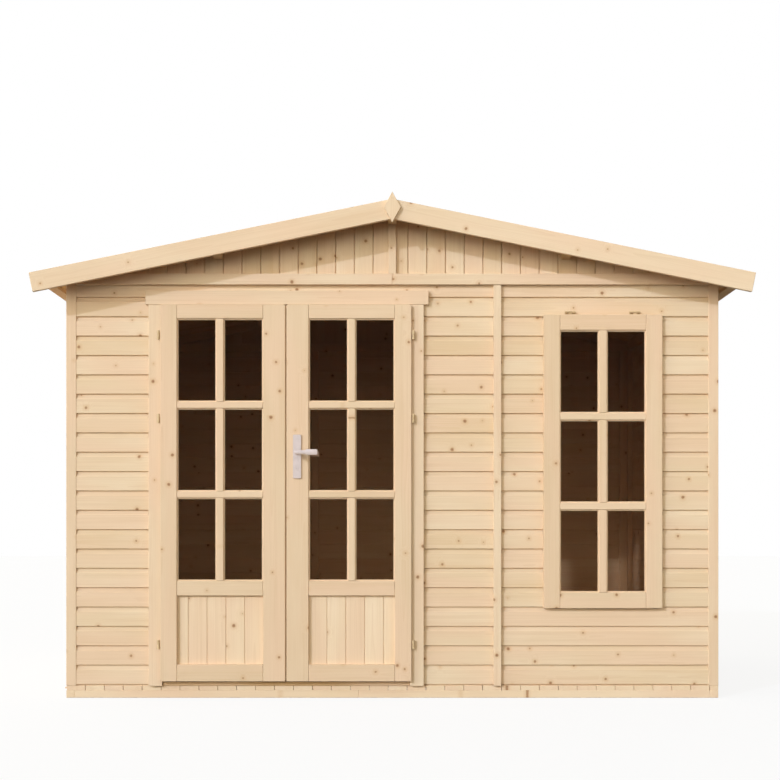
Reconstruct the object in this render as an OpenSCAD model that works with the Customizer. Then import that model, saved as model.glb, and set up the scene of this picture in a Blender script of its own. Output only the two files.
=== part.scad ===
/* [Overall] */
// Width over the side walls
shed_w = 3000; // [2800:10:3600]
// Depth over the front and back walls
shed_d = 2000; // [1600:10:3000]
// Pitch of the roof in degrees
roof_pitch = 11.45; // [9:0.05:16]

/* [Base and floor] */
// Height of the base bearers
bearer_h = 35; // [25:1:80]
// Width of the base bearers
bearer_w = 38; // [30:1:80]
// Rows of bearers that run across the shed
bearer_rows = 5; // [3:1:8]
// Thickness of the floor boards
floor_t = 21; // [16:1:28]

/* [Walls] */
// Thickness of the wall cladding
cladding_t = 16; // [12:1:24]
// Depth of the wall studs behind the cladding
stud_d = 28; // [20:1:45]
// Width of a wall stud
stud_w = 44; // [30:1:60]
// Thickness of the corner trims
corner_trim_t = 18; // [14:1:24]
// How far the corner trims stand proud of the cladding
corner_proud = 2; // [1:0.5:6]
// Height of the roof deck's underside at the side walls above the foot of the gables
gable_drop = 8; // [4:1:60]
// Distance from the lintel board up to the band boards
band_gap = 27; // [5:1:80]
// Height of the band boards below the gables
band_h = 50; // [40:1:90]
// Thickness of the band boards
band_t = 23; // [14:1:30]
// Width of the battens that cover the panel joints
batten_w = 35; // [20:1:60]
// Thickness of the battens that cover the panel joints
batten_t = 18; // [10:1:22]
// Width of the panel with the window, at the right end of the front wall
window_panel_w = 1017.5; // [980:0.5:1060]
// Width of the panels at the ends of the back wall
back_panel_w = 1000; // [800:5:1200]
// Gap between lengths that butt against each other
butt_gap = 1; // [0.5:0.5:3]

/* [Doors] */
// Distance from the left side wall to the doors
door_side = 438.5; // [400:0.5:500]
// Width of one door leaf
leaf_w = 571.5; // [500:0.5:640]
// Height of a door leaf
leaf_h = 1721.6; // [1600:0.1:2000]
// Thickness of a door leaf
leaf_t = 40; // [34:1:60]
// Gap between the floor and the doors
leaf_lift = 23.4; // [10:0.1:40]
// Gap round the doors and between the leaves
door_gap = 6; // [5:0.5:10]
// Room between the threshold and the doors above it
sill_gap = 5; // [5:0.5:8]
// Distance of the threshold behind the faces of the closed doors
sill_set = 30; // [22:1:36]
// Width of the lip with which a leaf laps its frame
lip_w = 12; // [8:1:20]
// Clearance between a leaf's lip and the trims round the doors
lip_gap = 5; // [5:0.5:8]
// Distance of a leaf's face before the jamb trims
leaf_proud = 18; // [14:1:26]
// Width of a leaf's stile on the hinge side
hinge_stile_w = 76; // [60:1:110]
// Width of a leaf's stile on the lock side
lock_stile_w = 101; // [80:1:130]
// Height of a leaf's top rail
top_rail_h = 61.5; // [50:0.5:100]
// Height of a leaf's middle rail
mid_rail_h = 67; // [50:1:100]
// Height of a leaf's bottom rail
bottom_rail_h = 77.5; // [60:0.5:120]
// Height of the boarded panel's opening in a leaf
panel_h = 315; // [200:1:600]
// Width of the beads that hold the glass
bead_w = 6; // [3:0.5:10]
// Width of the upright glazing bars of a door
door_bar_w = 43.5; // [25:0.5:60]
// Height of the level glazing bars of a door
door_bar_h = 41; // [25:0.5:60]
// Thickness of the boarded panel
panel_t = 12; // [9:1:16]
// Distance of the boarded panel behind the leaf's face
panel_set = 17; // [8:1:20]
// Depth of the grooves that hold glass and panels
groove_d = 6; // [3:0.5:8]
// Width of the trims beside the doors
jamb_trim_w = 63; // [45:1:90]
// Thickness of the trims beside the doors
jamb_trim_t = 18; // [14:1:24]
// Length of the lintel board past each jamb trim
lintel_over = 18; // [0:1:60]
// Shift of the lintel board to the right of the doors' middle
lintel_shift = 4; // [-15:0.5:15]
// Height of the lintel board
lintel_h = 64; // [50:1:80]
// Thickness of the lintel board
lintel_t = 20; // [16:1:28]

/* [Door hardware] */
// Height of the lowest hinges above a leaf's bottom edge
low_hinge_z = 168; // [100:1:400]
// Distance of the middle hinges below a leaf's top edge
mid_hinge_drop = 518; // [300:1:900]
// Distance of the highest hinges below a leaf's top edge
top_hinge_drop = 136; // [80:1:250]
// Radius of a hinge barrel
barrel_r = 6; // [5:0.5:7]
// Height of a hinge barrel
barrel_h = 41; // [30:1:70]
// Gap between the two halves of a hinge barrel
barrel_gap = 0.3; // [0.1:0.05:0.5]
// Distance from the hinge axis to the leaf's edge
hinge_off = 9; // [8:0.5:12]
// Distance from the hinge axis to the jamb trims
hinge_set = 12; // [10:0.5:16]
// Radius of the hinge pins
pin_r = 4; // [2.5:0.5:4]
// Running clearance of the hinge pins in their barrels
pin_clear = 0.08; // [0.02:0.01:0.1]
// Distance from the top of a hinge barrel down to its pin
pin_drop = 1; // [0.5:0.5:3]
// Radius of the bolts that hold the hinge barrels
hinge_bolt_r = 3; // [2:0.5:4]
// Height of the lever's axis above the leaf's bottom edge
lever_z = 1045.6; // [900:0.1:1200]
// Distance of the lever's axis from the leaf's lock edge
lever_x = 49; // [40:1:60]
// Width of the handle plates
plate_w = 37.5; // [30:0.5:50]
// Height of the handle plates
plate_h = 200.5; // [160:0.5:260]
// Thickness of the handle plates
plate_t = 8; // [4:1:12]
// Height of the lever's axis below the top of its plate
plate_top = 83; // [50:1:95]
// Distance from the lever's axis down to the lock cylinder
lock_drop = 72; // [55:1:92]
// Radius of the lock cylinder
lock_r = 8.5; // [6:0.5:12]
// Distance that the lock cylinder stands out of a plate
lock_out = 3; // [1:0.5:8]
// Length of the lever from its axis
lever_l = 96; // [80:1:130]
// Thickness of the lever's arm
lever_t = 12; // [8:1:18]
// Radius of the lever's neck
neck_r = 9; // [8:0.5:14]
// Height of the lever's arm next to its neck
lever_arm_h = 16; // [10:0.5:18]
// Height of the lever's grip
lever_grip_h = 26; // [18:0.5:32]
// Length of the lever's grip
lever_grip_l = 49; // [40:1:70]
// Length of the lever's neck
neck_l = 40; // [30:1:60]
// Radius of the lever's spindle
spindle_r = 4; // [3:0.5:5]
// Running clearance of the lever
lever_clear = 0.3; // [0.1:0.05:0.5]
// Room round the spindle inside the leaf
spindle_room = 1; // [0.5:0.5:2]

/* [Window] */
// Distance from the right side wall to the window frame
window_side = 262.2; // [200:0.1:320]
// Distance from the band boards down to the window frame
window_drop = 136.6; // [80:0.1:300]
// Width of the window frame
window_w = 543.6; // [400:0.1:640]
// Height of the window frame
window_h = 1346.8; // [900:0.1:1550]
// Thickness of the window frame
window_t = 36; // [30:1:44]
// Distance that the window frame stands proud of the cladding
window_proud = 24; // [12:1:28]
// Width of the window frame that laps the cladding
window_lap = 20; // [10:1:35]
// Gap between the window frame and the hole in the wall
window_gap = 2; // [1:0.5:6]
// Width of the window frame's upright sides
window_stile_w = 80; // [60:1:110]
// Height of the window frame's top and bottom rails
window_rail_h = 78; // [60:1:110]
// Width of the window's upright glazing bar
window_bar_w = 46; // [25:1:60]
// Height of the window's level glazing bars
window_bar_h = 43; // [25:1:60]
// Thickness of the glass
glass_t = 4; // [3:0.5:6]
// Distance of the glass behind the face of its frame
glass_set = 12; // [8:1:18]
// Distance between the two window hinges
window_hinge_span = 297; // [150:1:400]
// Length of a window hinge
window_hinge_l = 49; // [30:1:80]
// Radius of a window hinge's barrel
window_barrel_r = 5; // [3:0.5:6]
// Height of a window hinge's leaf on the cladding
window_leaf_h = 12; // [8:1:16]
// Thickness of a window hinge's leaf
window_leaf_t = 2; // [1:0.5:3]

/* [Roof] */
// Thickness of the roof deck boards
deck_t = 18; // [14:1:24]
// Thickness of the shingle layer
shingle_t = 3; // [2:0.5:6]
// Overhang of the roof deck past the side walls
side_over = 100; // [60:5:200]
// Overhang of the shingles past the roof deck
shingle_over = 10; // [5:1:20]
// Distance from the front and back walls to the face of the barge boards
end_over = 150; // [100:5:300]
// Width of the barge boards
barge_w = 91.3; // [88:0.1:140]
// Thickness of the barge boards
barge_t = 18; // [14:1:24]
// Height of the barge boards above the roof deck
barge_rise = 4; // [3:0.5:8]
// Length of the barge boards past the edge of the roof deck
barge_over = 30; // [20:1:60]
// Width of the diamond finials
finial_w = 75; // [50:1:110]
// Height of the diamond finials
finial_h = 137; // [100:1:180]
// Thickness of the finials
finial_t = 16; // [10:1:24]
// Height of a finial's top above the barge boards' peak
finial_rise = 28; // [10:1:40]
// Width of the ridge beam and purlins
beam_w = 38; // [35:1:70]
// Height of the ridge beam
ridge_beam_h = 60; // [45:1:140]
// Height of the purlins
purlin_h = 56; // [45:1:110]
// Distance of the purlins' middles from the outside of the side walls
purlin_side = 704; // [600:2:900]
// Width of the battens below the eaves
eave_batten_w = 38; // [25:1:60]
// Thickness of the battens below the eaves
eave_batten_t = 16; // [10:1:22]
// Width of the ridge cap on each slope
ridge_cap_w = 125; // [80:5:200]

/* [Hidden] */
wood = [0.91, 0.80, 0.66];
roof_wood = [0.88, 0.77, 0.62];
glass = [0.25, 0.22, 0.20, 0.45];
metal = [0.80, 0.80, 0.81];
bitumen = [0.38, 0.41, 0.47];
round_fn = 48;
cut = 1; // how far a cutting shape runs past what it cuts
sides = [-1, 1];

floor_z = bearer_h + floor_t;
wall_x = shed_w / 2 - corner_proud; // outer face of the side cladding
inner_x = wall_x - cladding_t - stud_d; // inner face of the side walls
wall_y = shed_d / 2; // outer face of the front and back cladding
stud_y = wall_y - cladding_t;
inner_y = stud_y - stud_d;
corner_y = wall_y + corner_proud - corner_trim_t; // ends of the side walls
slope_cos = cos(roof_pitch);
slope_tan = tan(roof_pitch);

pair_w = 2 * leaf_w + door_gap;
door_x = door_side + pair_w / 2 - shed_w / 2; // middle of the doors
leaf_z = floor_z + leaf_lift;
leaf_top = leaf_z + leaf_h;
leaf_y = -wall_y - jamb_trim_t - leaf_proud; // face of the closed doors
lip_t = leaf_proud - lip_gap;
opening_w = pair_w - 2 * lip_w + 2 * door_gap;
opening_left = door_x - opening_w / 2;
opening_right = door_x + opening_w / 2;
opening_top = leaf_top - lip_w + door_gap;
lintel_z = leaf_top + lip_gap;
band_z = lintel_z + lintel_h + band_gap;
wall_top = band_z + band_h / 2; // where the walls end and the gables begin
eaves_h = wall_top + gable_drop; // underside of the roof deck at the side walls
leaf_open_w = leaf_w - hinge_stile_w - lock_stile_w;
glazed_w = leaf_open_w - 2 * bead_w;
glazed_z = bottom_rail_h + panel_h + mid_rail_h + bead_w;
glazed_h = leaf_h - top_rail_h - bead_w - glazed_z;
hinge_zs = [low_hinge_z, leaf_h - mid_hinge_drop, leaf_h - top_hinge_drop];
hinge_y = -wall_y - jamb_trim_t - hinge_set; // axis of the door hinges
half_barrel = (barrel_h - barrel_gap) / 2;

window_x = shed_w / 2 - window_side - window_w / 2; // middle of the window
hole_w = window_w - 2 * window_lap;
hole_h = window_h - 2 * window_lap;
hole_left = window_x - hole_w / 2;
hole_right = window_x + hole_w / 2;
sash_z = band_z - window_drop - window_h;
hole_z = sash_z + window_lap;

front_joint_x = shed_w / 2 - window_panel_w;
back_joint_x = shed_w / 2 - back_panel_w;
purlin_x = shed_w / 2 - purlin_side;
deck_x = shed_w / 2 + side_over; // edge of the roof deck
end_y = wall_y + end_over; // face of the barge boards
deck_y = end_y - barge_t; // ends of the deck, against the barge boards
deck_rise = deck_t / slope_cos; // upright thickness of the deck

// Height of the roof deck's underside at a distance x from the middle
function soffit(x) = eaves_h + (shed_w / 2 - abs(x)) * slope_tan;

// Box from its lowest corner to its highest
module block(low, high) {
    translate(low) cube(high - low);
}

// Outline in the X-Z plane made into a piece between two Y planes
module across(y0, y1) {
    translate([0, y1, 0]) rotate([90, 0, 0]) linear_extrude(y1 - y0) children();
}

// Outline from height z up to the roof deck, or to a height below it
module under_roof(x0, x1, z, drop = 0) {
    polygon([
        [x0, z], [x1, z], [x1, soffit(x1) - drop],
        if (x0 < 0 && x1 > 0) [0, soffit(0) - drop],
        [x0, soffit(x0) - drop]
    ]);
}

// Strip that follows one slope between two distances from the middle, over a range of upright heights
module slope_strip(side, x0, x1, low, high) {
    polygon([
        [side * x0, soffit(x0) + low], [side * x1, soffit(x1) + low],
        [side * x1, soffit(x1) + high], [side * x0, soffit(x0) + high]
    ]);
}

// The front copy and the same thing turned to the back
module front_and_back() {
    children();
    rotate([0, 0, 180]) children();
}

// ---- base and floor ----

module side_bearers() color(wood) {
    for (side = sides)
        translate([side * (shed_w - bearer_w) / 2, 0, bearer_h / 2])
            cube([bearer_w, shed_d, bearer_h], center = true);
}

module cross_bearers() color(wood) {
    pitch = (shed_d - bearer_w) / (bearer_rows - 1);
    for (row = [0 : bearer_rows - 1])
        translate([0, row * pitch - (shed_d - bearer_w) / 2, bearer_h / 2])
            cube([shed_w - 2 * bearer_w, bearer_w, bearer_h], center = true);
}

module floor() color(wood)
    block([-shed_w / 2, -wall_y, bearer_h], [shed_w / 2, wall_y, floor_z]);

// ---- walls ----

module front_panel(x0, x1, z0, z1) color(wood)
    block([x0, -wall_y, z0], [x1, -stud_y, z1]);

module front_wall_left() front_panel(-inner_x, opening_left, floor_z, wall_top);

module front_wall_middle() front_panel(opening_right, hole_left, floor_z, wall_top);

module front_wall_right() front_panel(hole_right, inner_x, floor_z, wall_top);

module front_wall_over_door() front_panel(opening_left, opening_right, opening_top, wall_top);

module front_wall_over_window() front_panel(hole_left, hole_right, hole_z + hole_h, wall_top);

module front_wall_under_window() front_panel(hole_left, hole_right, floor_z, hole_z);

module back_wall() color(wood)
    block([-inner_x, stud_y, floor_z], [inner_x, wall_y, wall_top]);

module side_wall(side) color(wood)
    across(-corner_y, corner_y) under_roof(
        side > 0 ? wall_x - cladding_t : -wall_x,
        side > 0 ? wall_x : cladding_t - wall_x, floor_z);

module left_wall() side_wall(-1);

module right_wall() side_wall(1);

// Ends of the ridge beam and purlins, as outlines that run on above the deck's underside by rise
module beam_ends(rise = 0) {
    under_roof(-beam_w / 2, beam_w / 2, soffit(0) - ridge_beam_h, -rise);
    for (side = sides) {
        x0 = side * purlin_x - beam_w / 2;
        under_roof(x0, x0 + beam_w, soffit(purlin_x) - purlin_h, -rise);
    }
}

module front_gable() color(wood)
    across(-wall_y, -stud_y) difference() {
        under_roof(-inner_x, inner_x, wall_top);
        beam_ends(cut);
    }

module back_gable() rotate([0, 0, 180]) front_gable();

// ---- frame behind the cladding ----

module stud(x, y0) block([x - stud_w / 2, y0, floor_z], [x + stud_w / 2, y0 + stud_d, wall_top - stud_w]);

module wall_studs() color(wood) {
    half = stud_w / 2;
    corner = inner_x - butt_gap - half;
    front = [
        -corner, opening_left - half, opening_right + half,
        front_joint_x - half - butt_gap / 2, front_joint_x + half + butt_gap / 2,
        hole_left - half, hole_right + half, corner
    ];
    back = [for (side = sides) each [
        side * corner, side * (back_joint_x - half - butt_gap / 2), side * (back_joint_x + half + butt_gap / 2)
    ]];
    for (x = front) stud(x, -stud_y);
    for (x = back) stud(x, inner_y);
    for (side = sides, y = [half - corner_y, -half - butt_gap / 2, half + butt_gap / 2, corner_y - half])
        translate([side * (inner_x + stud_d / 2), y, 0])
            rotate([0, 0, 90]) stud(0, -stud_d / 2);
}

module wall_rails() color(wood) {
    rail_x = inner_x - butt_gap;
    front_and_back() block([-rail_x, -stud_y, wall_top - stud_w], [rail_x, -inner_y, wall_top]);
    block([opening_left, -stud_y, opening_top], [opening_right, -inner_y, opening_top + stud_w]);
    block([hole_left, -stud_y, hole_z + hole_h], [hole_right, -inner_y, hole_z + hole_h + stud_w]);
    block([hole_left, -stud_y, hole_z - stud_w], [hole_right, -inner_y, hole_z]);
    for (side = sides)
        across(-corner_y, corner_y) under_roof(
            side > 0 ? inner_x : -inner_x - stud_d,
            side > 0 ? inner_x + stud_d : -inner_x, wall_top - stud_w);
}

module gable_rafters() color(wood)
    front_and_back() across(-stud_y, -inner_y) difference() {
        for (side = sides) intersection() {
            slope_strip(side, 0, inner_x, -stud_w / slope_cos, 0);
            under_roof(-inner_x, inner_x, wall_top);
        }
        beam_ends(cut);
    }

// ---- trims ----

module corner_trims() color(wood)
    front_and_back() across(-wall_y - corner_proud, -corner_y)
        for (side = sides)
            under_roof(side > 0 ? inner_x : -shed_w / 2, side > 0 ? shed_w / 2 : -inner_x, floor_z);

// Their outer ends are cut along the underside of the roof deck
module band_boards() color(wood)
    front_and_back() across(-wall_y - band_t, -wall_y) for (side = sides) intersection() {
        under_roof(side > 0 ? butt_gap / 2 : -inner_x, side > 0 ? inner_x : -butt_gap / 2, band_z);
        translate([-inner_x, band_z]) square([2 * inner_x, band_h]);
    }

// Upright batten on a panel joint, from the floor to height z1, on the front at x
module joint_batten(x, face_y, z0, z1)
    block([x - batten_w / 2, -face_y - batten_t, z0], [x + batten_w / 2, -face_y, z1]);

module cover_battens() color(wood) {
    joint_batten(front_joint_x, wall_y, floor_z, band_z);
    rotate([0, 0, 180]) for (side = sides) joint_batten(side * back_joint_x, wall_y, floor_z, band_z);
    for (side = sides) rotate([0, 0, side * 90])
        joint_batten(0, wall_x, floor_z, soffit(wall_x + batten_t));
    front_and_back() joint_batten(0, wall_y, band_z + band_h, soffit(0) - ridge_beam_h);
}

// The trims beside the doors, and the threshold that lies on the floor below them
module door_jamb_trims() color(wood) {
    block([opening_left - jamb_trim_w, -wall_y - jamb_trim_t, floor_z], [opening_left, -wall_y, lintel_z]);
    block([opening_right, -wall_y - jamb_trim_t, floor_z], [opening_right + jamb_trim_w, -wall_y, lintel_z]);
    block([opening_left + butt_gap, leaf_y + sill_set, floor_z],
        [opening_right - butt_gap, -stud_y, leaf_z - sill_gap]);
}

module door_lintel() color(wood) {
    half = opening_w / 2 + jamb_trim_w + lintel_over;
    middle = door_x + lintel_shift;
    block([middle - half, -wall_y - lintel_t, lintel_z], [middle + half, -wall_y, lintel_z + lintel_h]);
}

// ---- glazing ----

// Two columns and three rows of panes that fill w by h between bars, as boxes grown by grow on each side
module panes(w, h, bar_w, bar_h, y0, y1, grow = 0) {
    pane_w = (w - bar_w) / 2;
    pane_h = (h - 2 * bar_h) / 3;
    for (column = [0, 1], row = [0 : 2]) {
        x = column * (pane_w + bar_w);
        z = row * (pane_h + bar_h);
        block([x - grow, y0, z - grow], [x + pane_w + grow, y1, z + pane_h + grow]);
    }
}

module window_place() translate([window_x - window_w / 2, -wall_y - window_proud, sash_z]) children();

module window_panes(y0, y1, grow = 0)
    translate([window_stile_w, 0, window_rail_h])
        panes(window_w - 2 * window_stile_w, window_h - 2 * window_rail_h,
            window_bar_w, window_bar_h, y0, y1, grow);

module window_frame() color(wood)
    window_place() difference() {
        inset = window_lap + window_gap;
        union() {
            cube([window_w, window_proud, window_h]);
            translate([inset, 0, inset])
                cube([window_w - 2 * inset, window_t, window_h - 2 * inset]);
        }
        window_panes(-cut, window_t + cut);
        window_panes(glass_set, glass_set + glass_t, groove_d);
    }

module window_glass() color(glass)
    window_place() window_panes(glass_set, glass_set + glass_t, groove_d);

module window_hinges() color(metal)
    window_place() for (side = sides)
        translate([(window_w - window_hinge_l + side * window_hinge_span) / 2, 0, window_h]) {
            translate([0, window_proud / 2, window_barrel_r])
                rotate([0, 90, 0]) cylinder(r = window_barrel_r, h = window_hinge_l, $fn = round_fn);
            block([0, window_proud - window_leaf_t, window_barrel_r],
                [window_hinge_l, window_proud, window_barrel_r + window_leaf_h]);
            block([0, window_proud / 2, 2 * window_barrel_r - window_leaf_t],
                [window_hinge_l, window_proud, 2 * window_barrel_r]);
        }

// ---- roof ----

module roof_beams() color(wood)
    across(-deck_y, deck_y) {
        beam_ends();
        for (side = sides)
            slope_strip(side, deck_x - eave_batten_w, deck_x, -eave_batten_t / slope_cos, 0);
    }

module roof_deck(side) color(roof_wood)
    across(-deck_y, deck_y) slope_strip(side, 0, deck_x, 0, deck_rise);

module left_roof_deck() roof_deck(-1);

module right_roof_deck() roof_deck(1);

module shingles(side) color(bitumen)
    across(-deck_y, deck_y)
        slope_strip(side, 0, deck_x + shingle_over, deck_rise, deck_rise + shingle_t / slope_cos);

module left_shingles() shingles(-1);

module right_shingles() shingles(1);

module ridge_cap() color(bitumen) {
    layer = shingle_t / slope_cos;
    edge_x = ridge_cap_w * slope_cos;
    low = deck_rise + layer;
    across(-deck_y, deck_y) polygon([
        [-edge_x, soffit(edge_x) + low], [0, soffit(0) + low], [edge_x, soffit(edge_x) + low],
        [edge_x, soffit(edge_x) + low + layer], [0, soffit(0) + low + layer],
        [-edge_x, soffit(edge_x) + low + layer]
    ]);
}

// Barge board of one slope, with its lower end cut square
module barge_outline(side) {
    top = soffit(0) + deck_rise + barge_rise;
    length = (deck_x + barge_over) / slope_cos;
    drop = barge_w / slope_cos;
    mirror([side < 0 ? 1 : 0, 0]) intersection() {
        translate([butt_gap / 2, 0]) square([deck_x + 2 * barge_over, 2 * top]);
        translate([0, top]) rotate(-roof_pitch) translate([-drop, -barge_w])
            square([length + drop, barge_w]);
    }
}

module front_barge_boards() color(wood)
    across(-end_y, -deck_y) for (side = sides) barge_outline(side);

module back_barge_boards() rotate([0, 0, 180]) front_barge_boards();

module finials() color(wood) {
    top = soffit(0) + deck_rise + barge_rise + finial_rise;
    front_and_back() across(-end_y - finial_t, -end_y)
        polygon([[0, top], [finial_w / 2, top - finial_h / 2], [0, top - finial_h],
            [-finial_w / 2, top - finial_h / 2]]);
}

// ---- doors ----

// A leaf is drawn from its hinge edge towards its lock edge, with its face at y = 0 and its foot at z = 0
module left_leaf_place() translate([door_x - pair_w / 2, leaf_y, leaf_z]) children();

module right_leaf_place() translate([door_x + pair_w / 2, leaf_y, leaf_z]) mirror([1, 0, 0]) children();

module leaf_panes(y0, y1, grow = 0)
    translate([hinge_stile_w + bead_w, 0, glazed_z])
        panes(glazed_w, glazed_h, door_bar_w, door_bar_h, y0, y1, grow);

module leaf_panel(y0, y1, grow = 0)
    block([hinge_stile_w - grow, y0, bottom_rail_h - grow],
        [hinge_stile_w + leaf_open_w + grow, y1, bottom_rail_h + panel_h + grow]);

module leaf_frame() color(wood)
    difference() {
        union() {
            cube([leaf_w, lip_t, leaf_h]);
            block([lip_w, 0, 0], [leaf_w, leaf_t, leaf_h - lip_w]);
        }
        leaf_panes(-cut, leaf_t + cut);
        leaf_panes(glass_set, glass_set + glass_t, groove_d);
        leaf_panel(-cut, leaf_t + cut);
        leaf_panel(panel_set, panel_set + panel_t, groove_d);
    }

module leaf_glass() color(glass) leaf_panes(glass_set, glass_set + glass_t, groove_d);

module leaf_board_panel() color(wood) leaf_panel(panel_set, panel_set + panel_t, groove_d);

module leaf_hinges() color(metal)
    for (z = hinge_zs) translate([-hinge_off, hinge_y - leaf_y, z + barrel_h / 2 - half_barrel])
        difference() {
            union() {
                cylinder(r = barrel_r, h = half_barrel, $fn = round_fn);
                translate([0, 0, half_barrel / 2]) rotate([0, 90, 0])
                    cylinder(r = hinge_bolt_r, h = hinge_off, $fn = round_fn);
            }
            translate([0, 0, -cut])
                cylinder(r = pin_r + pin_clear, h = half_barrel + 2 * cut, $fn = round_fn);
        }

module left_door_frame() left_leaf_place() leaf_frame();

module left_door_panel() left_leaf_place() leaf_board_panel();

module left_door_glass() left_leaf_place() leaf_glass();

module left_door_hinges() left_leaf_place() leaf_hinges();

module right_door_frame() right_leaf_place() difference() {
    leaf_frame();
    translate([leaf_w - lever_x, leaf_t + cut, lever_z]) rotate([90, 0, 0])
        cylinder(r = spindle_r + spindle_room, h = leaf_t + 2 * cut, $fn = round_fn);
}

module right_door_panel() right_leaf_place() leaf_board_panel();

module right_door_glass() right_leaf_place() leaf_glass();

module right_door_hinges() right_leaf_place() leaf_hinges();

// Lower barrels with their pins, and the bolts that hold them to the jamb trims
module leaf_jamb_hinges()
    for (z = hinge_zs) translate([-hinge_off, hinge_y - leaf_y, z - barrel_h / 2]) {
        cylinder(r = barrel_r, h = half_barrel, $fn = round_fn);
        cylinder(r = pin_r, h = barrel_h - pin_drop, $fn = round_fn);
        translate([0, hinge_set, half_barrel / 2]) rotate([90, 0, 0])
            cylinder(r = hinge_bolt_r, h = hinge_set, $fn = round_fn);
    }

module jamb_hinges() color(metal) {
    left_leaf_place() leaf_jamb_hinges();
    right_leaf_place() leaf_jamb_hinges();
}

// ---- handle, drawn from the lever's axis at the leaf's face, with outside at -y ----

module handle_place() translate([door_x - pair_w / 2 + leaf_w + door_gap + lever_x, leaf_y, leaf_z + lever_z])
    children();

// The outside copy and the same thing mirrored to the inside of the leaf
module outside_and_inside() {
    children();
    translate([0, leaf_t, 0]) mirror([0, 1, 0]) children();
}

module handle_plates() color(metal)
    handle_place() outside_and_inside() difference() {
        union() {
            block([-plate_w / 2, -plate_t, plate_top - plate_h], [plate_w / 2, 0, plate_top]);
            translate([0, 0, -lock_drop]) rotate([90, 0, 0])
                cylinder(r = lock_r, h = plate_t + lock_out, $fn = round_fn);
        }
        translate([0, cut, 0]) rotate([90, 0, 0])
            cylinder(r = spindle_r + lever_clear, h = plate_t + 2 * cut, $fn = round_fn);
    }

// A slim arm that widens into a grip with a round end
module lever_arm() {
    arm = lever_arm_h / 2;
    grip = lever_grip_h / 2;
    grip_x = lever_l - lever_grip_l;
    end_x = lever_l - grip;
    translate([0, -plate_t - lever_clear, 0]) rotate([90, 0, 0]) {
        cylinder(r = neck_r, h = neck_l + lever_t, $fn = round_fn);
        translate([0, 0, neck_l]) linear_extrude(lever_t) {
            polygon([
                [0, -arm], [grip_x - grip + arm, -arm], [grip_x, -grip], [end_x, -grip],
                [end_x, grip], [grip_x, grip], [grip_x - grip + arm, arm], [0, arm]
            ]);
            translate([end_x, 0]) circle(r = grip, $fn = round_fn);
        }
    }
}

module handle_lever() color(metal)
    handle_place() {
        outside_and_inside() lever_arm();
        translate([0, leaf_t + plate_t + lever_clear, 0]) rotate([90, 0, 0])
            cylinder(r = spindle_r, h = leaf_t + 2 * (plate_t + lever_clear), $fn = round_fn);
    }

side_bearers();
cross_bearers();
floor();
front_wall_left();
front_wall_middle();
front_wall_right();
front_wall_over_door();
front_wall_over_window();
front_wall_under_window();
front_gable();
back_wall();
back_gable();
left_wall();
right_wall();
wall_studs();
wall_rails();
gable_rafters();
corner_trims();
band_boards();
cover_battens();
door_jamb_trims();
door_lintel();
window_frame();
window_glass();
window_hinges();
roof_beams();
left_roof_deck();
right_roof_deck();
left_shingles();
right_shingles();
ridge_cap();
front_barge_boards();
back_barge_boards();
finials();
jamb_hinges();
left_door_frame();
left_door_panel();
left_door_glass();
left_door_hinges();
right_door_frame();
right_door_panel();
right_door_glass();
right_door_hinges();
handle_plates();
handle_lever();
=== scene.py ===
# %% [markdown]
# # A wooden garden shed
# This lesson dresses a packed shed in its real timber: coved wall boards, matched boards, joined
# doors with small panes, a latch handle and hexagonal shingles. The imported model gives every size
# and place, and each cell makes one kind of piece.

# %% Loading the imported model
import random
from contextlib import contextmanager
from math import atan, ceil, cos, degrees, pi, radians, sin

import bmesh
import bpy
import numpy as np
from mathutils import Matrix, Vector


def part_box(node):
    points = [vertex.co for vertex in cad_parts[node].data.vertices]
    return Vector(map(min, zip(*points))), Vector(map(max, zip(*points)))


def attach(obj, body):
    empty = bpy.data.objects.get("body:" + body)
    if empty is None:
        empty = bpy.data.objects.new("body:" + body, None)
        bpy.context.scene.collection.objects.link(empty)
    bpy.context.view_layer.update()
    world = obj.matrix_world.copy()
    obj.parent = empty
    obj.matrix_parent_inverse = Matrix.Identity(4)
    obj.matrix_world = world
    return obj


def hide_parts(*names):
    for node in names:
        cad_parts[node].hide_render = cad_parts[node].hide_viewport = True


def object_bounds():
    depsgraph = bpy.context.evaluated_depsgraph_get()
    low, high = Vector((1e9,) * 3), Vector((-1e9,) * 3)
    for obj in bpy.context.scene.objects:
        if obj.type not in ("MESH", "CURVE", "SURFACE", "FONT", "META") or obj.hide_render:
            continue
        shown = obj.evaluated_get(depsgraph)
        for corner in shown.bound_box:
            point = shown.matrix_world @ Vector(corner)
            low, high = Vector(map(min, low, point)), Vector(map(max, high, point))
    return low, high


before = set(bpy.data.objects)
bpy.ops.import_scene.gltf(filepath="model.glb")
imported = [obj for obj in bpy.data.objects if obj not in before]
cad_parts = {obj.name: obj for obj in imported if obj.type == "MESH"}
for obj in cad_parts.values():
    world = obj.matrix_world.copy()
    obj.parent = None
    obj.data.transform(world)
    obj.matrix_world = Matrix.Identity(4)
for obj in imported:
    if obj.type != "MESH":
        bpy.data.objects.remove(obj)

cad_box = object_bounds()
print("nodes in the packed model:", len(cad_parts))

# %% [markdown]
# ## The camera
# The shed is looked at straight from the front, from low down and a few metres away. The camera
# stays level, so that upright boards stay upright, and the lens is shifted up to take in the roof.

# %% Camera
def new_object(name, data):
    """An object in the scene for this mesh, light or camera"""
    made = bpy.data.objects.new(name, data)
    bpy.context.scene.collection.objects.link(made)
    return made


EYE = Vector((0, -6.677, 0.772))
LENS = 56.95
SHIFT = (-0.00295, 0.1795)

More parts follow.
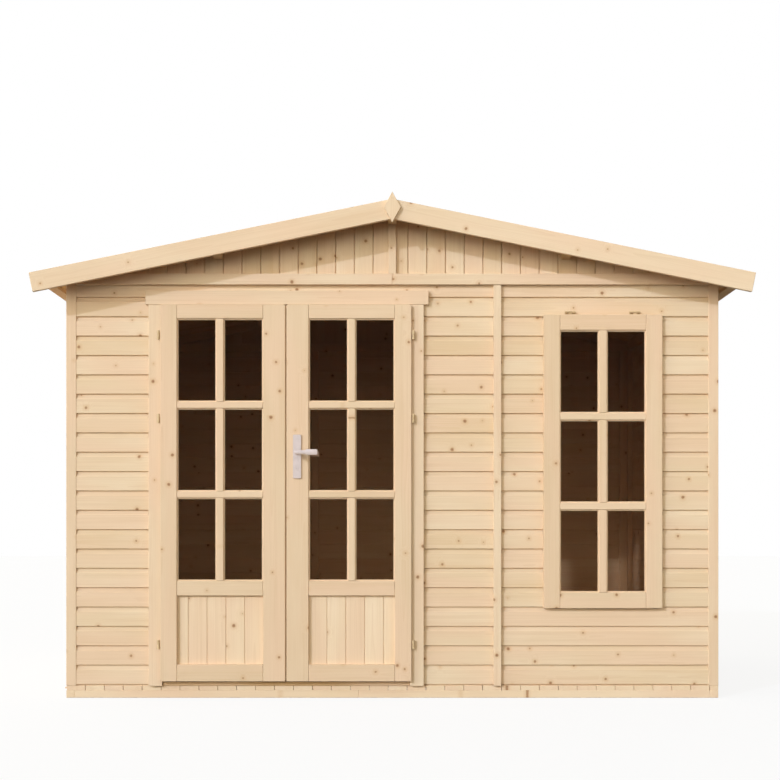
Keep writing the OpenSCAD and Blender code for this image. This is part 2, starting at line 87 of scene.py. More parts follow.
camera = new_object("camera", bpy.data.cameras.new("camera"))
camera.location = EYE
camera.rotation_euler = (pi / 2, 0, 0)
camera.data.lens = LENS
camera.data.shift_x, camera.data.shift_y = SHIFT
bpy.context.scene.camera = camera
bpy.context.scene.view_settings.view_transform = "Standard"
print("camera", round(-EYE.y, 2), "m before the middle of the shed")

# %% [markdown]
# ## Nodes in one line
# Every finish is a small tree of shader nodes. Helpers that add a node, set it and link its inputs
# let each finish read as a recipe.

# %% Helpers for materials
def srgb(red, green, blue):
    """A screen colour of 0 to 255 as the linear colour that shaders use"""
    return tuple(
        v / 12.92 if v <= 0.04045 else ((v + 0.055) / 1.055) ** 2.4
        for v in (red / 255, green / 255, blue / 255)
    ) + (1.0,)


def wire(node, inputs):
    """Sets the inputs of a node to values, or links sockets to them"""
    for key, value in inputs.items():
        if isinstance(value, bpy.types.NodeSocket):
            node.id_data.links.new(value, node.inputs[key])
        else:
            node.inputs[key].default_value = value
    return node


def add(tree, kind, inputs=None, **settings):
    """A new shader node with its settings and its inputs"""
    made = tree.nodes.new("ShaderNode" + kind)
    for key, value in settings.items():
        setattr(made, key, value)
    return wire(made, inputs or {})


def tree_of(*values):
    """The tree of nodes that these sockets belong to"""
    return next(value.id_data for value in values if isinstance(value, bpy.types.NodeSocket))


def maths(operation, first, second=0.0, clamp=False):
    """One sum on two values or sockets"""
    return add(tree_of(first, second), "Math", {0: first, 1: second}, operation=operation,
               use_clamp=clamp).outputs[0]


def times(first, second):
    """The product of two values or sockets"""
    return maths("MULTIPLY", first, second)


def blend(amount, first, second, mode="MIX"):
    """One colour laid over another"""
    return add(tree_of(amount, first, second), "Mix", {0: amount, 6: first, 7: second},
               data_type="RGBA", blend_type=mode).outputs[2]


def ramp(value, low, high):
    """0 where the value is low and 1 where it is high, with soft ends"""
    inputs = {"Value": value, "From Min": low, "From Max": high}
    return add(value.id_data, "MapRange", inputs, interpolation_type="SMOOTHSTEP").outputs[0]


def spread(value, low, high):
    """A value of 0 to 1 stretched to run from low to high"""
    inputs = {"Value": value, "To Min": low, "To Max": high}
    return add(value.id_data, "MapRange", inputs).outputs[0]


def split(vector):
    """The X, Y and Z of a vector"""
    return add(vector.id_data, "SeparateXYZ", {0: vector}).outputs


def attribute(tree, name, output="Fac"):
    """A value, or with output Vector a vector, that each corner of the mesh carries"""
    return add(tree, "Attribute", attribute_name=name).outputs[output]


def new_material(name):
    """An empty material with its Principled shader"""
    material = bpy.data.materials.new(name)
    material.use_nodes = True
    tree = material.node_tree
    return material, tree, tree.nodes["Principled BSDF"]

# %% [markdown]
# ## Light, floor and background
# A sky that is brightest low down and to the left darkens the wall step by step under the eaves,
# and a weak sun from the upper left draws the roof's shadow. The camera, metal and glass see plain
# white. The floor is pale to the camera and keeps the shadow, but throws little light back up.

# %% Sun and sky
SUN_WAY = Vector((0.85, 1.0, -0.57))
SUN_STRENGTH = 1.6
SUN_ANGLE = 1.6  # degrees across, for the softness of the shadows' edges
SUN_TINT = srgb(208, 223, 255)
SKY_LOW, SKY_HIGH = 2.52, 0.38  # strength below and above the heights where the glow ends
GLOW_FROM, GLOW_TO = 0.22, 0.65
SKY_TINT = srgb(255, 250, 234)
LEFT_GLOW = 0.75
WHITE = (1, 1, 1, 1)

sun = new_object("sun", bpy.data.lights.new("sun", "SUN"))
sun.rotation_euler = SUN_WAY.to_track_quat("-Z", "Y").to_euler()
sun.data.energy = SUN_STRENGTH
sun.data.color = SUN_TINT[:3]
sun.data.angle = radians(SUN_ANGLE)

sky = bpy.data.worlds.new("sky")
sky.use_nodes = True
bpy.context.scene.world = sky
tree = sky.node_tree
way = split(add(tree, "TexCoord").outputs["Generated"])
glow = add(tree, "MapRange", {"Value": way[2], "From Min": GLOW_FROM, "From Max": GLOW_TO,
                              "To Min": SKY_LOW, "To Max": SKY_HIGH})
sideways = maths("SUBTRACT", 1.0, times(way[0], LEFT_GLOW))
strength = times(glow.outputs[0], sideways)
fill = wire(tree.nodes["Background"], {"Color": SKY_TINT, "Strength": strength})
white = add(tree, "Background", {"Color": WHITE, "Strength": 1.0})
path = add(tree, "LightPath")
seen = maths("ADD", path.outputs["Is Camera Ray"], path.outputs["Is Glossy Ray"])
seen = maths("ADD", seen, path.outputs["Is Transmission Ray"], clamp=True)
mixed = add(tree, "MixShader", {0: seen, 1: fill.outputs[0], 2: white.outputs[0]})
wire(tree.nodes["World Output"], {"Surface": mixed.outputs[0]})
print("sun and sky at", SUN_STRENGTH, "and", SKY_LOW)

# %% The pale floor
FLOOR_SIZE = 60
FLOOR_DROP = 0.0005  # below the bearers, so that the two faces don't flicker
FLOOR_WHITE = 0.86  # the share that shows as plain white to the camera
FLOOR_PALE, FLOOR_BOUNCE = srgb(244, 243, 241), srgb(48, 44, 38)

bpy.ops.object.select_all(action="DESELECT")
bpy.ops.mesh.primitive_plane_add(size=FLOOR_SIZE, location=(0, 0, cad_box[0][2] - FLOOR_DROP))
floor = bpy.context.object
floor.name = "pale_floor"
material, tree, shader = new_material("pale_floor")
path = add(tree, "LightPath")
tone = blend(path.outputs["Is Diffuse Ray"], FLOOR_PALE, FLOOR_BOUNCE)
wire(shader, {"Base Color": tone, "Roughness": 0.9})
glow = add(tree, "Emission", {"Color": WHITE, "Strength": 1.0})
share = times(path.outputs["Is Camera Ray"], FLOOR_WHITE)
mixed = add(tree, "MixShader", {0: share, 1: shader.outputs[0], 2: glow.outputs[0]})
wire(tree.nodes["Material Output"], {"Surface": mixed.outputs[0]})
floor.data.materials.append(material)

# %% [markdown]
# ## Bare spruce
# Spruce is pale, with growth rings that follow the log, fine fibres, soft warm clouds and small
# brown knots that push the rings aside. The pattern is solid, so that it runs over every edge. Each
# length of timber carries the place it had in its own log as an attribute, and a tone of its own.

# %% The spruce recipe
RING_WIDTH, WAVE_SCALE = 0.0034, 0.3142  # a wave texture at scale 1 has rings 0.3142 m apart
LATE_POWER = 3.0  # how thin the dark late wood of a ring is
GRAIN_DEPTH = 0.0006
KNOT_CELL, KNOT_SIZE, SMALLEST_KNOT, KNOT_WOBBLE = 0.135, 0.0085, 0.0012, 0.004
LAYERS = (  # what is laid over the bare tone, how strongly, and in which colour
    ("pink", 0.6, (231, 198, 166)),
    ("late", 0.15, (199, 158, 111)),
    ("streak", 0.16, (203, 167, 122)),
    ("fibre", 0.08, (188, 149, 104)),
    # painted shade: a darker tone in the cove along the top of each wall board
    ("cut", 0.11, (150, 140, 120)),
    ("halo", 0.30, (199, 152, 99)),
    ("knot", 0.72, (159, 111, 70)),
    ("heart", 0.55, (112, 72, 43)),
)


def log_place(tree, run):
    """Along, across and through the log, from the timber's attribute or the object"""
    if run is None:
        return attribute(tree, "grain", "Vector")
    spot = split(add(tree, "TexCoord").outputs["Object"])
    across, through = [axis for axis in (2, 1, 0) if axis != run]
    return add(tree, "CombineXYZ", {0: spot[run], 1: spot[across], 2: spot[through]}).outputs[0]


def noise(place, along, across, detail, offset=0.0):
    """Noise drawn out along the board"""
    tree = place.id_data
    scale = add(tree, "Mapping", {"Vector": place, "Scale": (along, across, across),
                                  "Location": (offset, offset, offset)})
    inputs = {"Vector": scale.outputs[0], "Scale": 1.0, "Detail": detail}
    return add(tree, "TexNoise", inputs).outputs["Fac"]


def nearest_knot(place, share):
    """The distance to the edge of the nearest knot, below 0 inside it, and 1 where there is one"""
    tree = place.id_data
    flat = add(tree, "Mapping", {"Vector": place, "Scale": (1 / KNOT_CELL, 1 / KNOT_CELL, 1)})
    cells = add(tree, "TexVoronoi", {"Vector": flat.outputs[0], "Scale": 1.0},
                voronoi_dimensions="2D", feature="F1")
    gap = times(cells.outputs["Distance"], KNOT_CELL)
    luck = add(tree, "SeparateColor", {0: cells.outputs["Color"]}).outputs[0]
    size = add(tree, "MapRange", {"Value": luck, "From Min": 1 - share, "From Max": 1.0,
                                  "To Min": 0.0, "To Max": KNOT_SIZE}).outputs[0]
    wobble = times(noise(place, 90.0, 90.0, 1.0), KNOT_WOBBLE)
    edge = maths("SUBTRACT", maths("ADD", gap, wobble), size)
    return edge, maths("GREATER_THAN", size, SMALLEST_KNOT)


def spruce(name, pale, deep, run=None, knots=0.56):
    """Bare planed spruce. run is the grain's axis on a piece with no grain attribute"""
    material, tree, shader = new_material(name)
    place = log_place(tree, run)
    tone = attribute(tree, "tone") if run is None else noise(place, 0.3, 3.0, 0.0)
    edge, there = nearest_knot(place, knots)

    def near_knot(outer, inner):
        return times(ramp(edge, outer, inner), there)

    slow = add(tree, "Mapping", {"Vector": place, "Scale": (0.07, 1.0, 1.0)})
    rings = add(tree, "TexWave", {
        "Vector": slow.outputs[0], "Scale": WAVE_SCALE / RING_WIDTH,
        "Distortion": 14.0, "Detail": 2.0, "Detail Scale": 0.16, "Detail Roughness": 0.6,
        "Phase Offset": times(near_knot(0.035, 0.0), 16.0),
    }, wave_type="RINGS", rings_direction="X", wave_profile="SAW").outputs["Fac"]
    fibre = noise(place, 5.0, 420.0, 3.0)
    cloud = ramp(noise(place, 2.2, 11.0, 2.0, 9.1), 0.3, 0.72)
    marks = {
        "pink": ramp(noise(place, 1.6, 6.0, 1.0, 21.0), 0.36, 0.64),
        "late": maths("POWER", rings, LATE_POWER),
        "streak": ramp(noise(place, 1.1, 60.0, 2.0, 3.7), 0.5, 0.75),
        "fibre": ramp(fibre, 0.35, 0.75),
        "cut": attribute(tree, "cut"),
        "halo": near_knot(0.02, 0.0),
        "knot": near_knot(0.0035, 0.0),
        "heart": near_knot(-0.001, -0.004),
    }
    mottle = maths("ADD", times(cloud, 0.5), times(tone, 0.5))
    colour = blend(mottle, pale, deep)
    for mark, strength, tint in LAYERS:
        colour = blend(times(marks[mark], strength), colour, srgb(*tint))

    relief = maths("ADD", times(fibre, 0.35), times(marks["late"], -0.35))
    relief = maths("ADD", relief, times(marks["knot"], 0.5))
    bump = add(tree, "Bump", {"Height": relief, "Strength": 0.35, "Distance": GRAIN_DEPTH})
    wire(shader, {"Base Color": colour, "Roughness": spread(fibre, 0.56, 0.72),
                  "Specular IOR Level": 0.28, "Normal": bump.outputs[0]})
    return material


PALE, DEEP = srgb(234, 212, 180), srgb(222, 194, 155)
wall_wood = spruce("wall_spruce", PALE, DEEP)
trim_wood = spruce("trim_spruce", srgb(233, 210, 178), srgb(224, 197, 163))
joinery_wood = spruce("joinery_spruce", srgb(228, 203, 170), srgb(219, 191, 155), knots=0.45)
roof_wood = spruce("roof_spruce", srgb(224, 188, 132), srgb(209, 167, 109))
pale_wood = spruce("pale_spruce", srgb(239, 216, 184), srgb(232, 205, 168))
# painted shade: the threshold's spruce is darker than the trims, for the shade in the gap under the
# doors
threshold_shade_wood = spruce("threshold_wood_painted_shade", srgb(200, 162, 112), srgb(186, 147, 98), knots=0.3)
print("spruce finishes:", len([m for m in bpy.data.materials if "spruce" in m.name]))

# %% [markdown]
# ## Working as at a bench
# These helpers are the bench: lay one piece on it, work on it in edit mode, and choose the faces,
# edges or corners for the next cut by where they are. Everything else is put aside first, because
# an operator works on all that is selected.

# %% Bench helpers
TINY, NEAR = 1e-5, 1e-4  # places closer than this count as the same, and as close by


def pick(*pieces):
    """Selects only these pieces, the first as the active one"""
    bpy.ops.object.select_all(action="DESELECT")
    for piece in pieces:
        piece.select_set(True)
    bpy.context.view_layer.objects.active = pieces[0]


@contextmanager
def shaping(piece):
    """Edit mode on one piece, with all of it selected"""
    pick(piece)
    bpy.ops.object.mode_set(mode="EDIT")
    bpy.ops.mesh.select_all(action="SELECT")
    yield
    bpy.ops.object.mode_set(mode="OBJECT")


def choose(piece, kind, test):
    """In edit mode, selects the VERTs, EDGEs or FACEs whose place and direction pass the test"""
    bpy.ops.mesh.select_mode(type=kind)
    bpy.ops.mesh.select_all(action="DESELECT")
    shape = bmesh.from_edit_mesh(piece.data)
    for part in {"VERT": shape.verts, "EDGE": shape.edges, "FACE": shape.faces}[kind]:
        if kind == "EDGE":
            start, end = (corner.co for corner in part.verts)
            place, way = (start + end) / 2, (end - start).normalized()
        else:
            place = part.co if kind == "VERT" else part.calc_center_median()
            way = part.normal
        part.select = test(place, way)
    shape.select_flush_mode()
    bmesh.update_edit_mesh(piece.data)


def add_shape(operator, **settings):
    """A primitive whose size, turn and place go into its mesh"""
    bpy.ops.object.select_all(action="DESELECT")
    operator(**settings)
    bpy.ops.object.transform_apply(location=True, rotation=True, scale=True)
    return bpy.context.object


def add_block(low, high):
    """A block between two corners, to be shaped further"""
    low, high = Vector(low), Vector(high)
    return add_shape(bpy.ops.mesh.primitive_cube_add, size=1, location=(low + high) / 2,
                     scale=high - low)


def saw(piece, point, normal):
    """Cuts off what lies on the side that the normal points to, and fills the sawn face"""
    if max((corners(piece) - point) @ normal) < TINY:
        return
    with shaping(piece):
        bpy.ops.mesh.bisect(plane_co=point, plane_no=normal, use_fill=True, clear_outer=True)


def extrude(x, y, z):
    """In edit mode, pulls the chosen faces out, or pushes them in, by this much"""
    bpy.ops.mesh.extrude_region_move(TRANSFORM_OT_translate={"value": (x, y, z)})


def shift(x, y, z):
    """In edit mode, moves what is chosen"""
    bpy.ops.transform.translate(value=(x, y, z))


def chamfer(width, steps=1):
    """In edit mode, takes the corner off the chosen edges, or rounds it in steps"""
    bpy.ops.mesh.bevel(offset=width, segments=steps, affect="EDGES")


def score(axis, place):
    """In edit mode, draws a line round the piece at a place on the axis 0, 1 or 2"""
    normal = Vector([axis == 0, axis == 1, axis == 2])
    bpy.ops.mesh.select_all(action="SELECT")
    bpy.ops.mesh.bisect(plane_co=normal * place, plane_no=normal)


def ease_edges(piece, width, steps=1, angle=40):
    """Takes the sharpness off every edge, as sandpaper does"""
    bevel = piece.modifiers.new("eased", "BEVEL")
    bevel.width, bevel.segments = width, steps
    bevel.limit_method, bevel.angle_limit = "ANGLE", radians(angle)
    pick(piece)
    bpy.ops.object.modifier_apply(modifier=bevel.name)


def into_stock(piece):
    """Keeps the mesh of a modelled length as stock, and clears the bench"""
    mesh = piece.data
    bpy.data.objects.remove(piece)
    return mesh

# %% [markdown]
# ## Planed timber from stock
# A shed needs hundreds of lengths of timber, so one metre of each section is modelled with care
# and every length is a copy. Only the ends of the copy move, so the eased edges keep their size.
# Here is the plainest stock, a planed block.

# %% Planed stock, and lengths of it
EASE = 0.0014
LOG_LENGTH, LOG_SIDE, LOG_DEPTH = (0, 60), (-0.035, 0.035), (0.02, 0.09)
dice = random.Random(41)

block = add_block((-0.5, -0.5, -0.5), (0.5, 0.5, 0.5))
with shaping(block):
    chamfer(EASE)
PLANED = into_stock(block)


def corners(piece):
    """The corner places of a piece as an array"""
    places = np.zeros(len(piece.data.vertices) * 3)
    piece.data.vertices.foreach_get("co", places)
    return places.reshape(-1, 3)


def move_corners(piece, places):
    """Puts the corners of a piece at these places"""
    piece.data.vertices.foreach_set("co", places.ravel())
    piece.data.update()


def note(piece, name, values):
    """Writes a value or a vector for each corner into the mesh"""
    kind, field = ("FLOAT", "value") if values.ndim == 1 else ("FLOAT_VECTOR", "vector")
    piece.data.attributes.new(name, kind, "POINT").data.foreach_set(field, values.ravel())


def mark_grain(piece, run, luck=dice, middle=None):
    """Gives a length its own place in a log, along, across and through it, and a tone"""
    places = corners(piece)
    low, high = places.min(0), places.max(0)
    wide, thin = sorted((axis for axis in range(3) if axis != run), key=lambda a: low[a] - high[a])
    log = (places - ((low + high) / 2 if middle is None else middle))[:, [run, wide, thin]]
    log += [luck.uniform(*reach) for reach in (LOG_LENGTH, LOG_SIDE, LOG_DEPTH)]
    note(piece, "grain", log)
    note(piece, "tone", np.full(len(places), luck.random()))
    return piece


def length_of(stock, low, high, run=0, section=False, **grain):
    """A copy of the stock that fills a box, or with section keeps its profile"""
    piece = new_object("length", stock.copy())
    places = corners(piece)
    low, high = np.array(low, float), np.array(high, float)
    fitted = (low + high) / 2 + np.sign(places) * ((high - low) / 2 - 0.5 + abs(places))
    if section:
        fitted[:, 1:] = places[:, 1:] + low[1:]
    move_corners(piece, fitted)
    return mark_grain(piece, run, **grain)


def assemble(name, pieces, material, slot, *nodes, body="house"):
    """Joins lengths into one named piece that stands for CAD nodes and rides on their body"""
    pick(*pieces)
    if len(pieces) > 1:
        bpy.ops.object.join()
    piece = pieces[0]
    piece.name = piece.data.name = name
    piece.data.materials.clear()
    piece.data.materials.append(material)
    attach(piece, body)
    if nodes:
        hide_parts(*nodes)
    print(f"{name}: {len(pieces)} parts, {len(piece.data.polygons)} faces")
    return piece

# %% [markdown]
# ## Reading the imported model
# Some nodes hold many solids, such as the studs. The box of each solid is read from the node's own
# corners, and the line of the roof from the corners of a roof deck.

# %% Solids and the roof's line
def solids(node):
    """The lowest and highest corner of each solid in a CAD node"""
    shape = bmesh.new()
    shape.from_mesh(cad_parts[node].data)
    bmesh.ops.remove_doubles(shape, verts=shape.verts, dist=1e-6)
    waiting, boxes = set(shape.verts), []
    while waiting:
        solid = [waiting.pop()]
        for corner in solid:  # grows while it is read
            linked = {edge.other_vert(corner) for edge in corner.link_edges} & waiting
            waiting -= linked
            solid += linked
        places = np.array([corner.co for corner in solid])
        boxes.append((Vector(places.min(0)), Vector(places.max(0))))
    shape.free()
    return sorted(boxes, key=lambda box: tuple(box[0]))


def heights(node, x):
    """The lowest and highest corner of a node at a distance x from the middle"""
    there = [v.co.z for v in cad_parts[node].data.vertices if abs(v.co.x - x) < 5 * NEAR]
    return min(there), max(there)


deck_x, deck_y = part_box("right_roof_deck")[1].xy
soffit_ridge, deck_ridge = heights("right_roof_deck", 0)
slope = (soffit_ridge - heights("right_roof_deck", deck_x)[0]) / deck_x
pitch = atan(slope)
deck_t = (deck_ridge - soffit_ridge) * cos(pitch)
print("roof pitch", round(degrees(pitch), 2), "degrees, deck", round(deck_t * 1000, 1), "mm")


def saw_under_roof(piece):
    """Cuts the top of a piece along both slopes of the roof's underside"""
    for side in (-1, 1):
        normal = (side * sin(pitch), 0, cos(pitch))
        saw(piece, (0, 0, soffit_ridge), normal)


def turn(piece, axis, angle, move=(0, 0, 0)):
    """Turns a piece about an axis through the origin, then moves it"""
    piece.rotation_euler["xyz".index(axis)] = angle
    piece.location = move
    pick(piece)
    bpy.ops.object.transform_apply(location=True, rotation=True, scale=False)
    return piece


def turn_out(piece, angle, face):
    """Turns a piece with its front at y = 0 to its own side, this far from the middle"""
    turn(piece, "z", angle, Vector((sin(angle), -cos(angle), 0)) * face)

# %% [markdown]
# ## Plain planed timbers
# Each solid of the bearers, studs, rails, trims and battens becomes one planed length, with its
# grain along its longest side, and what meets the roof is sawn along the slope.

# %% Bearers, studs, trims and battens
def planed(node):
    """A planed length for each solid of a node"""
    return [length_of(PLANED, low, high, int(np.argmax(high - low))) for low, high in solids(node)]


FRONT_BEARER_JOINT, BUTT_GAP = -0.155, 0.0006
bearers = planed("side_bearers") + planed("cross_bearers")
front_bearer = min(bearers, key=lambda piece: corners(piece)[:, 1].max())
low, high = corners(front_bearer).min(0), corners(front_bearer).max(0)
bearers.remove(front_bearer)
bpy.data.objects.remove(front_bearer)
for start, end in ((low[0], FRONT_BEARER_JOINT), (FRONT_BEARER_JOINT + BUTT_GAP, high[0])):
    bearers.append(length_of(PLANED, (start, low[1], low[2]), (end, high[1], high[2])))
assemble("base_bearers", bearers, pale_wood, "base_wood", "side_bearers", "cross_bearers")

for name, node, wood, slot, meets_roof in (
    ("studs", "wall_studs", wall_wood, "frame_wood", False),
    ("rails", "wall_rails", wall_wood, "frame_wood", True),
    ("corner_posts", "corner_trims", trim_wood, "trim_wood", True),
    ("bands", "band_boards", trim_wood, "trim_wood", True),
    ("battens", "cover_battens", trim_wood, "trim_wood", False),
):
    piece = assemble(name, planed(node), wood, slot, node)
    if meets_roof:
        saw_under_roof(piece)
jambs = planed("door_jamb_trims")
threshold = min(jambs, key=lambda piece: corners(piece)[:, 2].max())
jambs.remove(threshold)
assemble("jamb_boards", jambs, trim_wood, "trim_wood", "door_jamb_trims")
# the threshold takes the darker spruce, which is painted shade
assemble("threshold", [threshold], threshold_shade_wood, "trim_wood")
assemble("lintel_board", planed("door_lintel"), trim_wood, "trim_wood", "door_lintel")

# %% [markdown]
# ## Coved wall boards
# A wall board is flat below and has a hollow cove along its top edge, so the foot of the next board
# stands proud of it and throws the thin dark line that marks every course. One metre is shaped from
# a block: lines are scored near the top, their front corners are pushed back, and the front of the
# foot is raised like a drip edge. An attribute marks the cove, where a darker tone is painted
# shade.

# %% Wall board stock
COURSE = 0.0891
FIRST_COURSE = 0.004
COVE_H, COVE_DEPTH = 0.0210, 0.0100
COVE_STEPS = (1.0, 0.85, 0.68, 0.5, 0.3)
COVE_BEND = 1.7
FOOT_RISE = 0.0026
FOOT_EASE, BACK_EASE = 0.0012, 0.0028

wall_low, wall_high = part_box("front_wall_left")
board_t = wall_high.y - wall_low.y
block = add_block((-0.5, 0, 0), (0.5, board_t, COURSE))
with shaping(block):
    for share in COVE_STEPS:
        score(2, COURSE - COVE_H * share)
    for share in COVE_STEPS:
        height = COURSE - COVE_H * share
        choose(block, "VERT", lambda co, n: co.y < TINY and abs(co.z - height) < TINY)
        shift(0, COVE_DEPTH * (1 - share ** COVE_BEND), 0)
    choose(block, "VERT", lambda co, n: co.y < TINY and co.z > COURSE - TINY)
    shift(0, COVE_DEPTH, 0)
    score(1, COVE_DEPTH)
    choose(block, "VERT", lambda co, n: co.y < TINY and co.z < TINY)
    shift(0, 0, FOOT_RISE)
    choose(block, "EDGE", lambda co, way: co.y < TINY and abs(way.x) > 0.9
           and co.z < FOOT_RISE + TINY)
    chamfer(FOOT_EASE)
    choose(block, "EDGE", lambda co, way: co.y > board_t - TINY and abs(way.x) > 0.9
           and not TINY < co.z < COURSE - TINY)
    chamfer(BACK_EASE)
y, z = corners(block)[:, 1:].T
# the cove's faces, which get painted shade in the spruce finish
cove_shade_mask = (y > NEAR) & (y < board_t - BACK_EASE - NEAR) & (z > COURSE - COVE_H)
note(block, "cut", cove_shade_mask.astype(float))
WALL_BOARD = into_stock(block)
print("wall board section:", len(WALL_BOARD.vertices) // 2, "corners")

# %% The four walls
battens = [(low + high) / 2 for low, high in solids("cover_battens")]
front_joints = [place.x for place in battens if place.y < wall_low.y and place.x > 0.1]
back_joints = [place.x for place in battens if place.y > 1 and abs(place.x) > 0.1]


def make_wall(node, name, x0, x1, z0, z1, joints, face, angle):
    """Courses of boards from x0 to x1 on a wall this far from the middle, turned to its side, in
    panels between upright joints. The luck of a board hangs on its side, panel and course, so
    that it runs on past a door or a window"""
    ends = [x0, *(x for x in joints if x0 < x < x1), x1]
    side = round(degrees(angle) / 90) % 4
    foot = wall_low.z + FIRST_COURSE
    boards = []
    for left, right in zip(ends, ends[1:]):
        panel = sum(joint < left + NEAR for joint in joints)
        for row in range(-1, ceil((z1 - foot) / COURSE)):
            bottom = foot + row * COURSE
            if bottom + COURSE <= z0 + NEAR or bottom >= z1 - NEAR:
                continue
            board = length_of(WALL_BOARD, (left, 0, bottom), (right, 0, bottom), section=True,
                              luck=random.Random(side * 1000 + panel * 100 + row + 7),
                              middle=np.array((0, board_t / 2, bottom + COURSE / 2)))
            saw(board, (0, 0, z1), (0, 0, 1))
            saw(board, (0, 0, z0), (0, 0, -1))
            saw(board, (0, face, soffit_ridge), (0, -sin(pitch), cos(pitch)))
            boards.append(board)
    turn_out(assemble(name, boards, wall_wood, "wall_wood", node), angle, face)


for part in ("left", "middle", "right", "over_door", "over_window", "under_window"):
    low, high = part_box("front_wall_" + part)
    make_wall("front_wall_" + part, "front_boards_" + part, low.x, high.x, low.z, high.z,
              front_joints, -low.y, 0)
low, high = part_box("back_wall")
make_wall("back_wall", "back_boards", low.x, high.x, low.z, high.z, back_joints, high.y, pi)
low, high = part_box("right_wall")
for side, node in ((1, "right_wall"), (-1, "left_wall")):
    make_wall(node, node + "_boards", low.y, high.y, low.z, high.z, [0.0], high.x,
              side * pi / 2)

# %% [markdown]
# ## Matched boards
# The gables, floor, roof deck and door panels are matched boards: a tongue on one edge, a groove in
# the other, and in most of them a chamfer that makes a thin V at each joint. The two edge faces of
# the stock are inset, and one is pulled out and the other pushed in.

# %% Matched board stock
TONGUE, SLACK, LOOSE = 0.004, 0.0004, 0.0002  # the groove is deeper and wider by these


def matched_stock(thickness, width, eased, gap, set_back=0.0, tongue=TONGUE, slack=SLACK):
    """One metre of matched board and the gap beside it, with its face at y = 0"""
    block = add_block((-0.5, 0, 0), (0.5, thickness, width - gap))
    with shaping(block):
        for way, loose, reach in ((1, LOOSE, tongue + gap), (-1, -LOOSE, tongue + slack)):
            choose(block, "FACE", lambda co, n: n.z * way > 0.9)
            bpy.ops.mesh.inset(thickness=thickness / 3 + loose)
            shift(0, set_back, 0)
            extrude(0, 0, reach)
        if eased:
            choose(block, "EDGE", lambda co, way: co.y < TINY and abs(way.x) > 0.9)
            chamfer(eased)
    return into_stock(block)


def matched_row(stock, starts, x0, x1):
    """Matched boards from x0 to x1, with their lower edges at each start"""
    return [length_of(stock, (x0, 0, z), (x1, 0, z), section=True) for z in starts]


SPARE = 0.01  # how far boards run past a cut before they are sawn
GABLE_W, GABLE_FIRST = 0.0862, 0.0745
GABLE_BOARD = matched_stock(board_t, GABLE_W, eased=0.0014, gap=0.0038, set_back=0.003)

# %% Gables
gable_low, gable_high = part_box("front_gable")
reach = gable_high.x
count = ceil(reach / GABLE_W)
starts = [-GABLE_W * (k + 1) for k in range(count)]
starts += [GABLE_FIRST + GABLE_W * (k - 1) for k in range(1, count)]
starts.append(GABLE_FIRST - GABLE_W)  # behind the middle batten, where the halves meet
for end, angle in (("front", 0), ("back", pi)):
    lengths = matched_row(GABLE_BOARD, starts, -gable_high.z - SPARE, -gable_low.z)
    saw(lengths[-1], (0, 0, TONGUE + SLACK), (0, 0, -1))  # ripped along its length
    gable = assemble(end + "_gable_boards", lengths, wall_wood, "wall_wood", end + "_gable")
    turn(gable, "y", pi / 2)
    saw_under_roof(gable)
    saw(gable, (reach, 0, 0), (1, 0, 0))
    saw(gable, (-reach, 0, 0), (-1, 0, 0))
    turn_out(gable, angle, -gable_low.y)

# %% Floor and roof deck
FLOOR_W, FLOOR_EASE = 0.08703, 0.0008
DECK_W = 0.0862
SLOPES = ("right", 0), ("left", pi)  # the left slope is made as the right one, then turned

floor_low, floor_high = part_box("floor")
FLOOR_BOARD = matched_stock(floor_high.z - floor_low.z, FLOOR_W, eased=0, gap=0.0024,
                            tongue=0.007, slack=0.003)
count = ceil((floor_high.x - floor_low.x) / FLOOR_W)
starts = [-floor_low.x - FLOOR_W * (k + 1) for k in range(count)]
boards = assemble("floor_boards", matched_row(FLOOR_BOARD, starts, floor_low.y, floor_high.y),
                  pale_wood, "base_wood", "floor")
turn(boards, "x", -pi / 2)
turn(boards, "z", pi / 2, (0, 0, floor_high.z))
saw(boards, (floor_high.x, 0, 0), (1, 0, 0))
ease_edges(boards, FLOOR_EASE, angle=60)

DECK_BOARD = matched_stock(deck_t, DECK_W, eased=0.0015, gap=0.0012)
count = ceil(2 * deck_y / DECK_W)
starts = [-deck_y + DECK_W * k for k in range(count)]
for name, angle in SLOPES:
    lengths = matched_row(DECK_BOARD, starts, -SPARE, deck_x / cos(pitch) + SPARE)
    deck = assemble(name + "_deck_boards", lengths, roof_wood, "roof_wood", name + "_roof_deck")
    turn(deck, "x", pi / 2)
    saw(deck, (0, -deck_y, 0), (0, -1, 0))
    turn(deck, "y", pitch, (0, 0, soffit_ridge))
    saw(deck, (0, 0, 0), (-1, 0, 0))
    saw(deck, (deck_x, 0, 0), (1, 0, 0))
    turn(deck, "z", angle)

# %% [markdown]
# ## Barge boards and finials
# A barge board follows each end of each slope. It is laid level, turned to the roof's pitch and
# sawn plumb at the ridge. A small diamond, made of a cylinder of four sides, covers the joint.

# %% Barge boards and finials
BARGE_GAP, DIAMOND_EASE = 0.0005, 0.0006
barge_low, barge_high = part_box("front_barge_boards")
barge_t = barge_high.y - barge_low.y
barge_w = (barge_high.z - barge_low.z - barge_high.x * slope) * cos(pitch)
barge_l = barge_high.x / cos(pitch)
for name, end in (("front", -1), ("back", 1)):
    pair = []
    for side in (1, -1):
        middle = end * side * (abs(barge_low.y) - barge_t / 2)
        board = length_of(PLANED, (-barge_w, middle - barge_t / 2, -barge_w),
                          (barge_l, middle + barge_t / 2, 0))
        turn(board, "y", pitch, (0, 0, barge_high.z))
        saw(board, (BARGE_GAP, 0, 0), (-1, 0, 0))
        pair.append(turn(board, "z", 0 if side > 0 else pi))
    assemble(name + "_barges", pair, trim_wood, "trim_wood", name + "_barge_boards")

